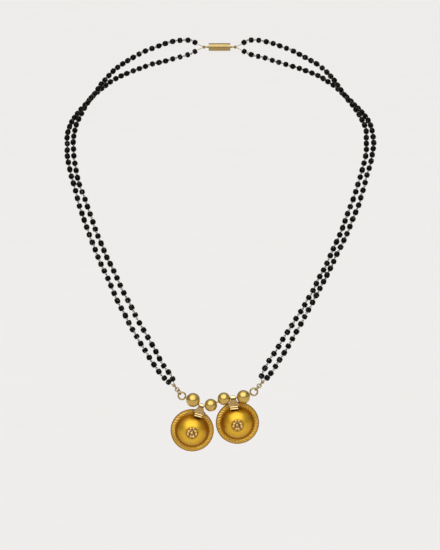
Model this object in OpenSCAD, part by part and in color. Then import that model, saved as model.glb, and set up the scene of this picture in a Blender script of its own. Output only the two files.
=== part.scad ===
// Mangalsutra: two hollow gold bowls hang by leaf bails from a gold wire that also
// carries four gold balls. The wire's eyes hang by short chains from two strands of
// black beads on each side, which meet at a plain clasp behind the neck.
// X is to the wearer's left, Y is backwards and Z is up.
// The origin is the point on the clasp's inner side that rests on the nape.

/* [Bowls] */
// Outer diameter of a bowl over its rim
vati_d = 16.7; // [15.5:0.1:17.5]
// Width of the rim around the dome
rim_w = 2.1; // [1.7:0.1:2.5]
// Thickness of the rim
rim_t = 0.5; // [0.4:0.05:0.7]
// Height of the dome over the rim's front
dome_h = 4.8; // [4.3:0.1:5.2]
// Thickness of the dome's sheet
sheet_t = 0.45; // [0.35:0.05:0.6]
// Distance that the rim's front hangs behind the wire's axis
rim_set_back = 1.5; // [1.4:0.05:1.7]
// Distance from the wire's axis down to the left bowl's rim
left_neck_l = 2.35; // [2.2:0.05:2.7]
// Distance from the wire's axis down to the right bowl's rim
right_neck_l = 2; // [1.95:0.05:2.4]

/* [Rosettes] */
// Number of petals at the top of each dome
petal_count = 8; // [6:1:10]
// Radius of one petal's rounded tip
petal_r = 0.8; // [0.65:0.05:0.9]
// Radius of the circle that the petals stand on
petal_ring_r = 1.5; // [1.35:0.05:1.6]
// Height of the petals over the dome
petal_h = 0.35; // [0.25:0.05:0.45]

/* [Bails] */
// Width of the bail's loop over the wire
bail_w = 1.7; // [1.55:0.05:1.8]
// Thickness of the bail's sheet
bail_t = 0.42; // [0.35:0.01:0.5]
// Play between the wire and the bail's loop
bail_play = 0.2; // [0.15:0.01:0.25]
// Greatest width of the leaf
leaf_w = 4.7; // [4.4:0.1:4.9]
// Length of the leaf below the wire's axis
leaf_l = 4.5; // [4.3:0.05:4.8]
// Diameter of one grain on the leaf
grain_d = 0.5; // [0.4:0.02:0.6]
// Distance between grains
grain_pitch = 0.72; // [0.66:0.02:0.8]

/* [Balls] */
// Diameter of the left end ball
ball_1_d = 5.4; // [5:0.1:5.8]
// Diameter of the left middle ball
ball_2_d = 4.9; // [4.6:0.1:5.3]
// Diameter of the right middle ball
ball_3_d = 4.9; // [4.6:0.1:5.3]
// Diameter of the right end ball
ball_4_d = 5.2; // [4.8:0.1:5.6]
// Play between the wire and a ball's bore
bore_play = 0.1; // [0.06:0.01:0.15]
// Gap between the two middle balls
middle_gap = 0.7; // [0.4:0.05:1]

/* [Pendant wire] */
// Diameter of the wire
wire_d = 0.6; // [0.5:0.02:0.7]
// Radius of an eye to the middle of its wire
eye_r = 1.4; // [1.3:0.05:1.6]
// Gap between an eye and the end ball beside it
eye_gap = 0.12; // [0.1:0.01:0.3]

/* [Chain links] */
// Diameter of a link's wire
link_wire_d = 0.4; // [0.34:0.02:0.44]
// Radius of the jump ring in each eye, to the middle of its wire
jump_r = 1; // [0.95:0.05:1.15]
// Radius of the middle link
middle_link_r = 0.78; // [0.76:0.02:0.9]
// Radius of the link that carries the strands
end_link_r = 0.88; // [0.86:0.02:1]
// Gap where two links meet
link_gap = 0.08; // [0.06:0.01:0.12]
// Gap between the two strands' rings in one link
ring_gap = 0.18; // [0.12:0.02:0.22]
// Lean of the left chain from upright, in degrees
left_chain_lean = -36; // [-40:1:-32]
// Lean of the right chain from upright, in degrees
right_chain_lean = 41; // [37:1:45]

/* [Strands] */
// Diameter of a strand over its beads
strand_d = 2.2; // [2:0.05:2.3]
// Diameter of the wire at a strand's ends
end_wire_d = 0.3; // [0.24:0.02:0.34]
// Radius of the ring at a strand's end, to the middle of its wire
end_ring_r = 0.5; // [0.48:0.02:0.6]
// Length of the wire from the ring to the strand at the front
front_shank_l = 1.2; // [1.1:0.1:1.5]
// Length of the wire from the ring to the strand at the clasp
back_shank_l = 2.6; // [2.4:0.1:3]
// Gap between that wire and the strand
end_gap = 0.08; // [0.05:0.01:0.12]

/* [Clasp] */
// Length of the barrel
barrel_l = 9; // [7:0.5:10]
// Diameter of the barrel
barrel_d = 3.2; // [3:0.1:4]
// Radius of the barrel's eyes, to the middle of their wire
clasp_eye_r = 1; // [0.95:0.05:1.2]
// Diameter of the wire of the barrel's eyes
clasp_wire_d = 0.5; // [0.4:0.02:0.56]

/* [Hidden] */
$fn = 48;

GOLD = "goldenrod";
BLACK = "#1a1a1a";

// The pendant wire lies in the plane y = front_y, and the left end ball's centre is
// at the left_ball point of that plane, as [x, z]
front_y = -104;
left_ball = [-10.2, -126];

// Lean of each stretch of the wire, in degrees downwards to the right: eye to ball 1,
// ball 1 to the left bail, on to ball 2, to ball 3, to the right bail, to ball 4, to
// the right eye
WIRE_TILTS = [20.7, 35.5, -3.5, -26.7, -5.7, -5.7, -26.3];
// Lean of the wire inside each bail, which is the bowl's hinge line
LEFT_SEAT_TILT = 16.5;
RIGHT_SEAT_TILT = -5.7;
// How each bowl's middle leans from straight below its bail
LEFT_HANG = 19.3;
RIGHT_HANG = -9.2;
// Room between each ball and the bail beside it: ball 1, ball 2, ball 3, ball 4
SIDE_ROOM = [0.35, 0.4, 0.3, 0.55];

// Route of each strand from front to back, in points chosen by hand
LEFT_OUTER_ROUTE = [
    [-20, -105.8, -118.7], [-27, -101, -110], [-38, -93, -92], [-49, -80, -70],
    [-55, -70.5, -55], [-59, -62, -42], [-60.5, -54, -34], [-60, -46, -27.5],
    [-56, -36, -22], [-51.5, -28.5, -17.5], [-44, -17.5, -12], [-33, -7.5, -8],
    [-21, -0.5, -5], [-13, 1.5, -3]
];
LEFT_INNER_ROUTE = [
    [-17.7, -102.2, -118.5], [-24.5, -98, -108.5], [-36, -91, -88.5], [-45.5, -80, -70.5],
    [-52, -70.5, -55.5], [-56.5, -62, -43.5], [-58, -52, -32], [-57, -45, -26.5],
    [-55, -40, -22], [-51.5, -33, -17], [-43.5, -19, -8], [-33, -8.5, -2],
    [-21, -1, 2], [-13, 1.5, 3]
];
RIGHT_OUTER_ROUTE = [
    [18.5, -105.8, -117], [25.5, -101, -107], [36.5, -93, -89], [47.5, -80, -69.5],
    [54.5, -70.5, -55], [59.5, -60.5, -40], [61, -54, -33.5], [60.5, -46, -27],
    [56.5, -36.5, -22], [52, -28.5, -18], [44, -17.5, -12], [33, -7.5, -8],
    [21, -0.5, -5], [13, 1.5, -3]
];
RIGHT_INNER_ROUTE = [
    [15.5, -102.2, -117.3], [22.5, -98, -106.5], [34.5, -91, -88.5], [45, -79.5, -70],
    [52, -69, -54.5], [57, -60, -40], [58.5, -51, -31], [57.5, -44.5, -25.5],
    [55.5, -40, -22.5], [51.5, -33, -17.5], [43.5, -19, -8], [33, -8.5, -2],
    [21, -1, 2], [13, 1.5, 3]
];

// Outline of the leaf: share of its length below the wire, share of its half width
LEAF = [
    [0, 0.44], [0.1, 0.45], [0.2, 0.51], [0.3, 0.6], [0.4, 0.76], [0.47, 0.94],
    [0.54, 1], [0.62, 0.99], [0.69, 0.88], [0.76, 0.72], [0.83, 0.67], [1, 0.64]
];
// Rows of grains on the leaf: share of its length below the wire, grains in the row
GRAIN_ROWS = [[0.2, 3], [0.33, 4], [0.46, 5], [0.59, 6]];

// Where the balls sit among the wire's points
BALL_PLACES = [1, 3, 4, 6];

// Sides of the necklace as it is seen from the front, and strands of a side
LEFT = -1;
RIGHT = 1;
OUTER = -1;
INNER = 1;
ACROSS = [1, 0, 0];
BACK = [0, 1, 0];
MESH_SIDES = 8;
RING_STEP = 3 * strand_d;
SWEEP_UP = [0, -0.45, 0.9];
FUSE = 0.05;

vati_r = vati_d / 2;
dome_base_r = vati_r - rim_w;
dome_r = (dome_base_r * dome_base_r + dome_h * dome_h) / (2 * dome_h);
dome_centre = dome_h - dome_r;
bail_hole_r = wire_d / 2 + bail_play;
bail_r = bail_hole_r + bail_t;

// The wire is a little thicker where it bends and where it closes into an eye
eye_wire_d = 1.1 * wire_d;

ball_r = [ball_1_d, ball_2_d, ball_3_d, ball_4_d] / 2;
eye_reach = eye_r + eye_wire_d / 2 + eye_gap;
wire_spans = [
    eye_reach + ball_r[0],
    ball_r[0] + SIDE_ROOM[0] + bail_w / 2,
    bail_w / 2 + SIDE_ROOM[1] + ball_r[1],
    ball_r[1] + middle_gap + ball_r[2],
    ball_r[2] + SIDE_ROOM[2] + bail_w / 2,
    bail_w / 2 + SIDE_ROOM[3] + ball_r[3],
    ball_r[3] + eye_reach
];
function tilted(tilt) = [cos(tilt), 0, -sin(tilt)];
function leaning(lean) = [sin(lean), 0, cos(lean)];
function wire_point(i) = i == 1 ? [left_ball.x, front_y, left_ball.y]
    : i < 1 ? wire_point(i + 1) - wire_spans[i] * tilted(WIRE_TILTS[i])
    : wire_point(i - 1) + wire_spans[i - 1] * tilted(WIRE_TILTS[i - 1]);
// Left eye, ball 1, left bail, ball 2, ball 3, right bail, ball 4, right eye
wire_points = [for (i = [0:7]) wire_point(i)];

// Distance between the centres of two rings that hang in each other
function mate(ring_r, ring_wire, next_r, next_wire, aside = 0) =
    sqrt(pow(ring_r - (ring_wire + next_wire) / 2 - link_gap, 2) - aside * aside) + next_r;

// The two end rings of a side hang beside each other in one link
end_aside = (end_wire_d + ring_gap) / 2;
jump_at = mate(eye_r, eye_wire_d, jump_r, link_wire_d);
middle_at = jump_at + mate(jump_r, link_wire_d, middle_link_r, link_wire_d);
end_at = middle_at + mate(middle_link_r, link_wire_d, end_link_r, link_wire_d);
rings_at = end_at + mate(end_link_r, link_wire_d, end_ring_r, end_wire_d, end_aside);
// Turn of each link about the chain's line, from flat to the front
JUMP_TWIST = 65;
MIDDLE_TWIST = -10;
END_TWIST = 90;

clasp_axis = [0, barrel_d / 2, 0];
clasp_eye_at = barrel_l / 2 + clasp_eye_r;
back_rings_at = clasp_eye_at
    + mate(clasp_eye_r, clasp_wire_d, end_ring_r, end_wire_d, end_aside);

function unit(v) = v / norm(v);
function square_to(v, t) = unit(v - (v * t) * t);

// Centre of each end ring
function chain_lean(side) = side < 0 ? left_chain_lean : right_chain_lean;
function chain_eye(side) = wire_points[side < 0 ? 0 : 7];
function front_ring(side, aside) = chain_eye(side)
    + rings_at * leaning(chain_lean(side)) + aside * end_aside * BACK;
function back_ring(side, aside) = clasp_axis
    + side * back_rings_at * ACROSS + aside * end_aside * BACK;

function last(list) = list[len(list) - 1];
// Where a strand starts, on the straight way from its end ring to its first point
function start_of(ring, shank_l, towards) = ring + (end_ring_r + shank_l) * unit(towards - ring);
function whole_route(route, side, aside) = concat(
    [start_of(front_ring(side, aside), front_shank_l, route[0])],
    route,
    [start_of(back_ring(side, aside), back_shank_l, last(route))]
);

// A smooth curve through the route's points
function curve(a, b, c, d, t) = 0.5 * (2 * b + (c - a) * t
    + (2 * a - 5 * b + 4 * c - d) * t * t + (3 * b - a - 3 * c + d) * t * t * t);
function around(route, i) = i < 0 ? 2 * route[0] - route[1]
    : i >= len(route) ? 2 * last(route) - route[len(route) - 2]
    : route[i];
function smooth(route) = concat([
    for (i = [0:len(route) - 2])
        let (steps = ceil(norm(route[i + 1] - route[i]) / RING_STEP))
            for (k = [0:steps - 1])
                curve(around(route, i - 1), route[i], route[i + 1], around(route, i + 2), k / steps)
], [last(route)]);

module ring(r, wire) {
    rotate_extrude()
        translate([r, 0])
            rotate(180)
                circle(d = wire, $fn = 32);
}

// A globe whose seam faces back, clear of a wire or bore that runs across
module globe(r, sides) {
    rotate([0, 0, 90])
        sphere(r, $fn = sides);
}

// Puts the child's X axis along a direction and its Z axis along a normal to it
module aligned(at, along, normal) {
    side = cross(normal, along);
    multmatrix([
        [along.x, side.x, normal.x, at.x],
        [along.y, side.y, normal.y, at.y],
        [along.z, side.z, normal.z, at.z],
        [0, 0, 0, 1]
    ])
        children();
}

module rod(from, to, d) {
    along = unit(to - from);
    aligned(from, along, square_to(BACK, along))
        rotate([0, 90, 0])
            cylinder(h = norm(to - from), d = d);
}

// Rim and dome with the front up and the rim's front at z = 0
module bowl() {
    edge = rim_t / 4;
    difference() {
        union() {
            rotate_extrude($fn = 96)
                polygon([
                    [0, -rim_t], [vati_r - edge, -rim_t], [vati_r, edge - rim_t],
                    [vati_r, -edge], [vati_r - 2 * edge, 0], [vati_r - rim_w / 2, edge],
                    [dome_base_r + 2 * edge, 0], [0, 0]
                ]);
            difference() {
                translate([0, 0, dome_centre])
                    sphere(dome_r, $fn = 96);
                translate([0, 0, -2 * dome_r - rim_t / 2])
                    cylinder(h = 2 * dome_r, r = vati_r);
            }
        }
        translate([0, 0, dome_centre])
            sphere(dome_r - sheet_t, $fn = 96);
    }
}

// Petals around a button, standing in the top of the dome
module rosette() {
    seat_r = dome_r + petal_h - petal_r;
    lean = asin(petal_ring_r / seat_r);
    translate([0, 0, dome_centre]) {
        for (i = [0:petal_count - 1])
            rotate([0, 0, (i + 0.5) * 360 / petal_count])
                rotate([0, lean, 0])
                    translate([0, 0, seat_r])
                        sphere(petal_r, $fn = 32);
        translate([0, 0, seat_r + petal_h / 3])
            sphere(petal_r, $fn = 32);
    }
}

// Sheet folded over the wire: a leaf in front, a strap behind and a collar on the rim
module bail(rim_top) {
    leaf = concat(
        [for (row = LEAF) [row[1] * leaf_w / 2, -row[0] * leaf_l]],
        [for (i = [len(LEAF) - 1:-1:0]) [-LEAF[i][1] * leaf_w / 2, -LEAF[i][0] * leaf_l]]
    );
    strap_back = rim_set_back + rim_t + bail_t;
    strap_l = rim_top + rim_w * 0.6;
    // Loop over the wire
    difference() {
        translate([-bail_w / 2, 0, 0])
            rotate([0, 90, 0])
                cylinder(h = bail_w, r = bail_r);
        translate([-bail_w, 0, 0])
            rotate([0, 90, 0])
                cylinder(h = 2 * bail_w, r = bail_hole_r);
        translate([-bail_w, -bail_r - 1, -bail_r - 1])
            cube([2 * bail_w, 2 * bail_r + 2, bail_r + 1]);
    }
    // Leaf
    translate([0, -bail_hole_r, 0])
        rotate([90, 0, 0])
            linear_extrude(bail_t)
                polygon(leaf);
    for (row = GRAIN_ROWS)
        for (i = [0:row[1] - 1])
            translate([(i - (row[1] - 1) / 2) * grain_pitch, -bail_r, -row[0] * leaf_l])
                sphere(d = grain_d, $fn = 24);
    // Collar, soldered where the dome meets the rim, and two ribs across the leaf
    collar_w = last(LEAF)[1] * leaf_w;
    collar_h = leaf_l * 0.16;
    rib_pitch = leaf_l * 0.17;
    translate([-collar_w / 2, -bail_r, -leaf_l])
        cube([collar_w, bail_r + rim_set_back, collar_h]);
    for (i = [0:1])
        translate([-collar_w / 2 - FUSE, -bail_r, (i + 0.5) * rib_pitch - leaf_l])
            rotate([0, 90, 0])
                cylinder(h = collar_w + 2 * FUSE, d = rib_pitch * 0.7, $fn = 24);
    // Strap
    translate([-bail_w / 2, 0, 0])
        rotate([90, 0, 90])
            linear_extrude(bail_w)
                polygon([
                    [bail_hole_r, FUSE], [bail_r, FUSE], [strap_back, -rim_top],
                    [strap_back, -strap_l], [strap_back - bail_t - FUSE, -strap_l],
                    [strap_back - bail_t - FUSE, -rim_top], [bail_hole_r, -bail_r]
                ]);
}

module vati(at, seat_tilt, hang, neck_l) {
    translate(at)
        rotate([0, seat_tilt, 0])
            bail(neck_l);
    translate(at - (neck_l + vati_r) * leaning(hang) + rim_set_back * BACK)
        rotate([90, 0, 0]) {
            bowl();
            difference() {
                rosette();
                translate([0, 0, dome_centre])
                    sphere(dome_r - sheet_t / 2, $fn = 96);
            }
        }
}

module vati_left() {
    color(GOLD)
        vati(wire_points[2], LEFT_SEAT_TILT, LEFT_HANG, left_neck_l);
}

module vati_right() {
    color(GOLD)
        vati(wire_points[5], RIGHT_SEAT_TILT, RIGHT_HANG, right_neck_l);
}

module pendant_wire() {
    half_seat = bail_w / 2 * tilted(LEFT_SEAT_TILT);
    bends = [
        wire_points[1],
        wire_points[2] - half_seat,
        wire_points[2] + half_seat,
        wire_points[3],
        wire_points[4],
        wire_points[6]
    ];
    // Each straight stretch starts and ends inside the thicker wire
    inset = wire_d / 6;
    stops = concat(
        [wire_points[0] + eye_r * tilted(WIRE_TILTS[0])],
        bends,
        [wire_points[7] - eye_r * tilted(WIRE_TILTS[6])]
    );
    color(GOLD) {
        for (side = [-1, 1])
            translate(chain_eye(side))
                rotate([90, 0, 0])
                    ring(eye_r, eye_wire_d);
        for (i = [0:len(stops) - 2])
            let (along = unit(stops[i + 1] - stops[i]))
                rod(stops[i] + inset * along, stops[i + 1] - inset * along, wire_d);
        for (bend = bends)
            translate(bend)
                globe(eye_wire_d / 2, 32);
    }
}

// A drilled ball, counted from the left
module ball(i) {
    place = BALL_PLACES[i];
    at = wire_points[place];
    half_seat = bail_w / 2 * tilted(LEFT_SEAT_TILT);
    before = wire_points[place - 1] + (place == 3 ? half_seat : [0, 0, 0]);
    after = wire_points[place + 1] - (place == 1 ? half_seat : [0, 0, 0]);
    bore_d = wire_d + 2 * bore_play;
    color(GOLD)
        difference() {
            translate(at)
                globe(ball_r[i], 64);
            rod(at, at - 2 * ball_r[i] * unit(at - before), bore_d);
            rod(at, at + 2 * ball_r[i] * unit(after - at), bore_d);
            translate(at)
                globe(0.75 * bore_d, 48);
        }
}

module chain_link(side, at, twist, r) {
    along = leaning(chain_lean(side));
    normal = cos(twist) * BACK + sin(twist) * cross(along, BACK);
    color(GOLD)
        aligned(chain_eye(side) + at * along, along, normal)
            ring(r, link_wire_d);
}

// Upright ring that ends a strand, and the shank from it to the strand
module strand_end(ring_at, shank_l, towards) {
    leaves = end_ring_r * unit([towards.x - ring_at.x, 0, towards.z - ring_at.z]);
    start = start_of(ring_at, shank_l, towards);
    color(GOLD) {
        translate(ring_at)
            rotate([90, 0, 0])
                ring(end_ring_r, end_wire_d);
        rod(ring_at + leaves, start - end_gap * unit(start - ring_at), end_wire_d * 0.9);
    }
}

// A strand's outer form, swept along its smoothed route
module strand(route) {
    path = smooth(route);
    n = len(path);
    points = [
        for (i = [0:n - 1])
            let (
                t = unit(path[min(i + 1, n - 1)] - path[max(i - 1, 0)]),
                up = square_to(SWEEP_UP, t),
                across = cross(t, up)
            )
                for (k = [0:MESH_SIDES - 1])
                    let (a = k * 360 / MESH_SIDES)
                        path[i] + strand_d / 2 * (cos(a) * up + sin(a) * across)
    ];
    walls = [
        for (i = [0:n - 2], k = [0:MESH_SIDES - 1])
            let (a = i * MESH_SIDES + k, b = i * MESH_SIDES + (k + 1) % MESH_SIDES)
                [a, a + MESH_SIDES, b + MESH_SIDES, b]
    ];
    front = [for (k = [0:MESH_SIDES - 1]) k];
    back = [for (k = [MESH_SIDES - 1:-1:0]) (n - 1) * MESH_SIDES + k];
    color(BLACK)
        polyhedron(points, concat(walls, [front, back]));
}

module clasp() {
    color(GOLD) {
        translate(clasp_axis - barrel_l / 2 * ACROSS)
            rotate([0, 90, 0])
                cylinder(h = barrel_l, d = barrel_d);
        for (side = [-1, 1])
            translate(clasp_axis + side * clasp_eye_at * ACROSS)
                ring(clasp_eye_r, clasp_wire_d);
    }
}

vati_left();
vati_right();
pendant_wire();
ball(0);  // ball_1
ball(1);  // ball_2
ball(2);  // ball_3
ball(3);  // ball_4
chain_link(LEFT, jump_at, JUMP_TWIST, jump_r);  // jump_ring_left
chain_link(LEFT, middle_at, MIDDLE_TWIST, middle_link_r);  // middle_link_left
chain_link(LEFT, end_at, END_TWIST, end_link_r);  // end_link_left
chain_link(RIGHT, jump_at, JUMP_TWIST, jump_r);  // jump_ring_right
chain_link(RIGHT, middle_at, MIDDLE_TWIST, middle_link_r);  // middle_link_right
chain_link(RIGHT, end_at, END_TWIST, end_link_r);  // end_link_right
strand(whole_route(LEFT_OUTER_ROUTE, LEFT, OUTER));  // strand_left_outer
strand(whole_route(LEFT_INNER_ROUTE, LEFT, INNER));  // strand_left_inner
strand(whole_route(RIGHT_OUTER_ROUTE, RIGHT, OUTER));  // strand_right_outer
strand(whole_route(RIGHT_INNER_ROUTE, RIGHT, INNER));  // strand_right_inner
strand_end(front_ring(LEFT, OUTER), front_shank_l, LEFT_OUTER_ROUTE[0]);  // front_end_left_outer
strand_end(front_ring(LEFT, INNER), front_shank_l, LEFT_INNER_ROUTE[0]);  // front_end_left_inner
strand_end(front_ring(RIGHT, OUTER), front_shank_l, RIGHT_OUTER_ROUTE[0]);  // front_end_right_outer
strand_end(front_ring(RIGHT, INNER), front_shank_l, RIGHT_INNER_ROUTE[0]);  // front_end_right_inner
strand_end(back_ring(LEFT, OUTER), back_shank_l, last(LEFT_OUTER_ROUTE));  // back_end_left_outer
strand_end(back_ring(LEFT, INNER), back_shank_l, last(LEFT_INNER_ROUTE));  // back_end_left_inner
strand_end(back_ring(RIGHT, OUTER), back_shank_l, last(RIGHT_OUTER_ROUTE));  // back_end_right_outer
strand_end(back_ring(RIGHT, INNER), back_shank_l, last(RIGHT_INNER_ROUTE));  // back_end_right_inner
clasp();
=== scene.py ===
# A short mangalsutra, hanging as it is worn: two satin gold bowls and four gold balls
# on a bent gold wire, under paired strings of small black glass beads.
# Lengths are in metres, with +Z up, the front towards -Y and +X to the wearer's left. Left
# and right in the names are as seen from the front.
import math
import random
from collections import namedtuple

import bmesh
import bpy
from bpy.props import FloatProperty, IntProperty, PointerProperty, StringProperty
from mathutils import Matrix, Vector


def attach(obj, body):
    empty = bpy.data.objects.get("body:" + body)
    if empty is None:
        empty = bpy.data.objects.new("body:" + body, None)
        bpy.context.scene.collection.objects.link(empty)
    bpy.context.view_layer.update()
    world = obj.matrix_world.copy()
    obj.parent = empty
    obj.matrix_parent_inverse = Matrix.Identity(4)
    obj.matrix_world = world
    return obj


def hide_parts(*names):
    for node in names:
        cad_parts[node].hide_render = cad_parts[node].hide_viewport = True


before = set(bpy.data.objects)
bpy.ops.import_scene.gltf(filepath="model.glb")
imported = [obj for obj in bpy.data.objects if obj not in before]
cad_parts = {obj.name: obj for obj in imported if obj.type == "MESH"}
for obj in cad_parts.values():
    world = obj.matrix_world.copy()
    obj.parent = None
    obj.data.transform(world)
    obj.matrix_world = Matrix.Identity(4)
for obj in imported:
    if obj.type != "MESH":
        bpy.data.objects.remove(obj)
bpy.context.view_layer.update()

bl_info = {
    "name": "Mangalsutra",
    "version": (1, 0, 0),
    "blender": (4, 5, 0),
    "location": "View3D > Sidebar > Mangalsutra",
    "description": "Builds a short mangalsutra round its packed CAD model",
    "category": "Object",
}

MM = 0.001
ACROSS = Vector((1, 0, 0))
BACK = Vector((0, 1, 0))
UP = Vector((0, 0, 1))

# Sizes that the CAD model gives the same pieces
VATI_R = 8.35 * MM
RIM_W = 2.1 * MM
RIM_T = 0.5 * MM
DOME_H = 4.8 * MM
SHEET_T = 0.45 * MM
RIM_SET_BACK = 1.5 * MM
PETALS = 8
PETAL_R = 0.8 * MM
PETAL_RING_R = 1.5 * MM
PETAL_H = 0.35 * MM
BAIL_W = 1.7 * MM
BAIL_T = 0.42 * MM
BAIL_HOLE_R = 0.5 * MM
BAIL_R = BAIL_HOLE_R + BAIL_T
LEAF_W = 4.7 * MM
LEAF_L = 4.5 * MM
GRAIN_PITCH = 0.72 * MM
RIB_PITCH = 0.17 * LEAF_L
WIRE_D = 0.6 * MM
EYE_WIRE_D = 1.1 * WIRE_D
EYE_R = 1.4 * MM
LINK_WIRE_D = 0.4 * MM
JUMP_R = 1 * MM
MIDDLE_LINK_R = 0.78 * MM
END_LINK_R = 0.88 * MM
LINK_GAP = 0.08 * MM
END_WIRE_D = 0.3 * MM
RING_GAP = 0.18 * MM
END_RING_R = 0.5 * MM
FRONT_SHANK_L = 1.2 * MM
BACK_SHANK_L = 2.6 * MM
BARREL_L = 9 * MM
BARREL_D = 3.2 * MM
CLASP_EYE_R = 1 * MM
CLASP_WIRE_D = 0.5 * MM

# Painted shade reaches this far out round the button, and a painted dark reflection starts here on
# the rim's edge
ROSETTE_R = 2.35 * MM
EDGE_R = VATI_R - 0.12 * MM

DOME_BASE_R = VATI_R - RIM_W
DOME_R = (DOME_BASE_R ** 2 + DOME_H ** 2) / (2 * DOME_H)
DOME_CENTRE = DOME_H - DOME_R
INNER_R = DOME_R - SHEET_T

# Points along the bowl's half section: up the dome, across the band of cuts and in the hollow
DOME_STEPS = 26
BAND_STEPS = 10
HOLLOW_STEPS = 16

# The dome laps over the groove by this much
GROOVE_LAP = 0.05 * MM
# Groove round the dome: millimetres out from the dome's foot and up
GROOVE = [(0.03, -0.04), (0.11, -0.12), (0.21, -0.13), (0.3, -0.06)]
# Band that carries the cuts: its distances from the dome's foot and the edge, and its crown
BAND_FROM_FOOT = 0.37 * MM
BAND_FROM_EDGE = 0.35 * MM
BAND_H = 0.14 * MM
# Lip: millimetres in from the edge and up
LIP = [
    (0.29, -0.07), (0.22, -0.05), (0.11, -0.06), (0.03, -0.12), (0, -0.22), (0, -0.36),
    (0.04, -0.45), (0.13, -0.5),
]

# Cuts in the band: points to a cut, how many cuts' widths one leans over for each metre of
# rim, half its width as a share of its pitch, its depth where its colour starts, and the
# depth of the shallowest one
CUT_SPOTS = 10
CUT_LEAN = 1.1 / (1.4 * MM)
CUT_HALF = 0.34
CUT_BRIGHT = 0.3
SHALLOWEST_CUT = 0.55

# Flat back of the rim, from this far inside the edge to this far outside the hollow, and
# the share of the radius whose colour on the front the back takes
BACK_INSET = 1.15 * MM
MOUTH_LAND = 0.1 * MM
BACK_SHADE = 0.6

# The wire's eyes, and what each chain leans by, on the left (-1) and right (1)
EYES = {-1: Vector((-14.456, -104, -124.392)) * MM, 1: Vector((13.223, -104, -122.796)) * MM}
CHAIN_LEAN = {-1: -36, 1: 41}

# A bowl: its body, the point of the wire that its bail hangs on, the tilt of the wire there,
# the lean of the bowl and the distance from the wire to the rim
Bowl = namedtuple("Bowl", "body at tilt lean neck")
BOWLS = {
    "left": Bowl("left_bowl", Vector((-7.025, -104, -128.265)) * MM, 16.5, 19.3, 2.35 * MM),
    "right": Bowl("right_bowl", Vector((5.253, -104, -125.165)) * MM, -5.7, -9.2, 2 * MM),
}

# Room for the beads' wires to turn in each other, and before the end beads
EYE_PLAY = 0.015 * MM
END_PLAY = 0.03 * MM

# Joints are looked for along a string in these steps, and spaced out this many times
STEP = 0.01 * MM
FITTINGS = 4

# Two beads sit this far apart on the front link of each outer string
PAIR_GAP = 0.2 * MM

# Hand-made links: shares of the pitch that they reach, how far their joints waver to the
# side, how far a bead has slid along its wire and how much it leans, shares of the bead's
# width and length, and degrees that the eyes are twisted by
LINK_SHARES = (0.94, 1.08)
WAVER = 0.2 * MM
SLIDE = 0.08 * MM
BEAD_LEAN = 0.22
WIDTH_SHARES = (0.96, 1.0)
LENGTH_SHARES = (0.88, 1.04)
EYE_TWIST = 12

# Sides of a bead, of its wire eyes, of a grain's ring and bead, and of any thin wire
BEAD_SIDES = 16
EYE_SIDES = 14
GRAIN_RING_SIDES = 12
GRAIN_BEAD_SIDES = 8
WIRE_SIDES = 6

# Points between two of a string's route and between two of the leaf's outline
ROUTE_STEPS = 16
LEAF_STEPS = 4

# Stands a flat ring on its edge
ON_EDGE = Matrix.Rotation(math.pi / 2, 4, "X")

# Outline of the leaf and its rows of grains, as in the CAD model
LEAF = [
    (0, 0.44), (0.1, 0.45), (0.2, 0.51), (0.3, 0.6), (0.4, 0.76), (0.47, 0.94),
    (0.54, 1), (0.62, 0.99), (0.69, 0.88), (0.76, 0.72), (0.83, 0.67), (1, 0.64),
]
GRAIN_ROWS = [(0.2, 3), (0.33, 4), (0.46, 5), (0.59, 6)]
# The leaf's rounded edge: share of the outline and distance in front of the wire's middle
LEAF_EDGE = [
    (1.0, BAIL_HOLE_R), (1.0, BAIL_R - 0.1 * MM), (0.96, BAIL_R - 0.03 * MM), (0.9, BAIL_R)]
# The outline shrinks towards this share of the leaf's length
LEAF_MIDDLE = 0.55
# A grain: a ring of fine wire round a bead, whose half section is in millimetres
GRAIN_RING_R = 0.24 * MM
GRAIN_WIRE_D = 0.15 * MM
GRAIN_BEAD = [(0, -0.05), (0.11, -0.05), (0.11, 0.06), (0.06, 0.15), (0, 0.17)]
# Ribs and the block that carries them: its height, the ribs' radius, sides and reach past
# the block
BLOCK_H = 0.16 * LEAF_L
RIB_R = 0.35 * RIB_PITCH
RIB_SIDES = 14
RIB_REACH = 0.05 * MM
# What is taken off the strap's edges, and how far it is soldered down the rim
STRAP_CHAMFER = 0.1 * MM
STRAP_LAP = 0.6 * RIM_W

# Where the key light shines, and where the dark gap in front is seen from the necklace
KEY_DIRECTION = (0.12, 0.63, -0.77)
GAP_DIRECTION = (0, -0.985, 0.17)

# Camera: height in degrees, distance, size of a pixel at the pendant, picture and sensor,
# and the point of the pendant that is seen at this pixel
ELEVATION = 10
DISTANCE = 1100 * MM
PIXEL = 0.385 * MM
IMAGE_W = 440
IMAGE_H = 550
SENSOR = 36
PENDANT = Vector((0, -104, -126)) * MM
PENDANT_PIXEL = (219.5, 400)

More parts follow.
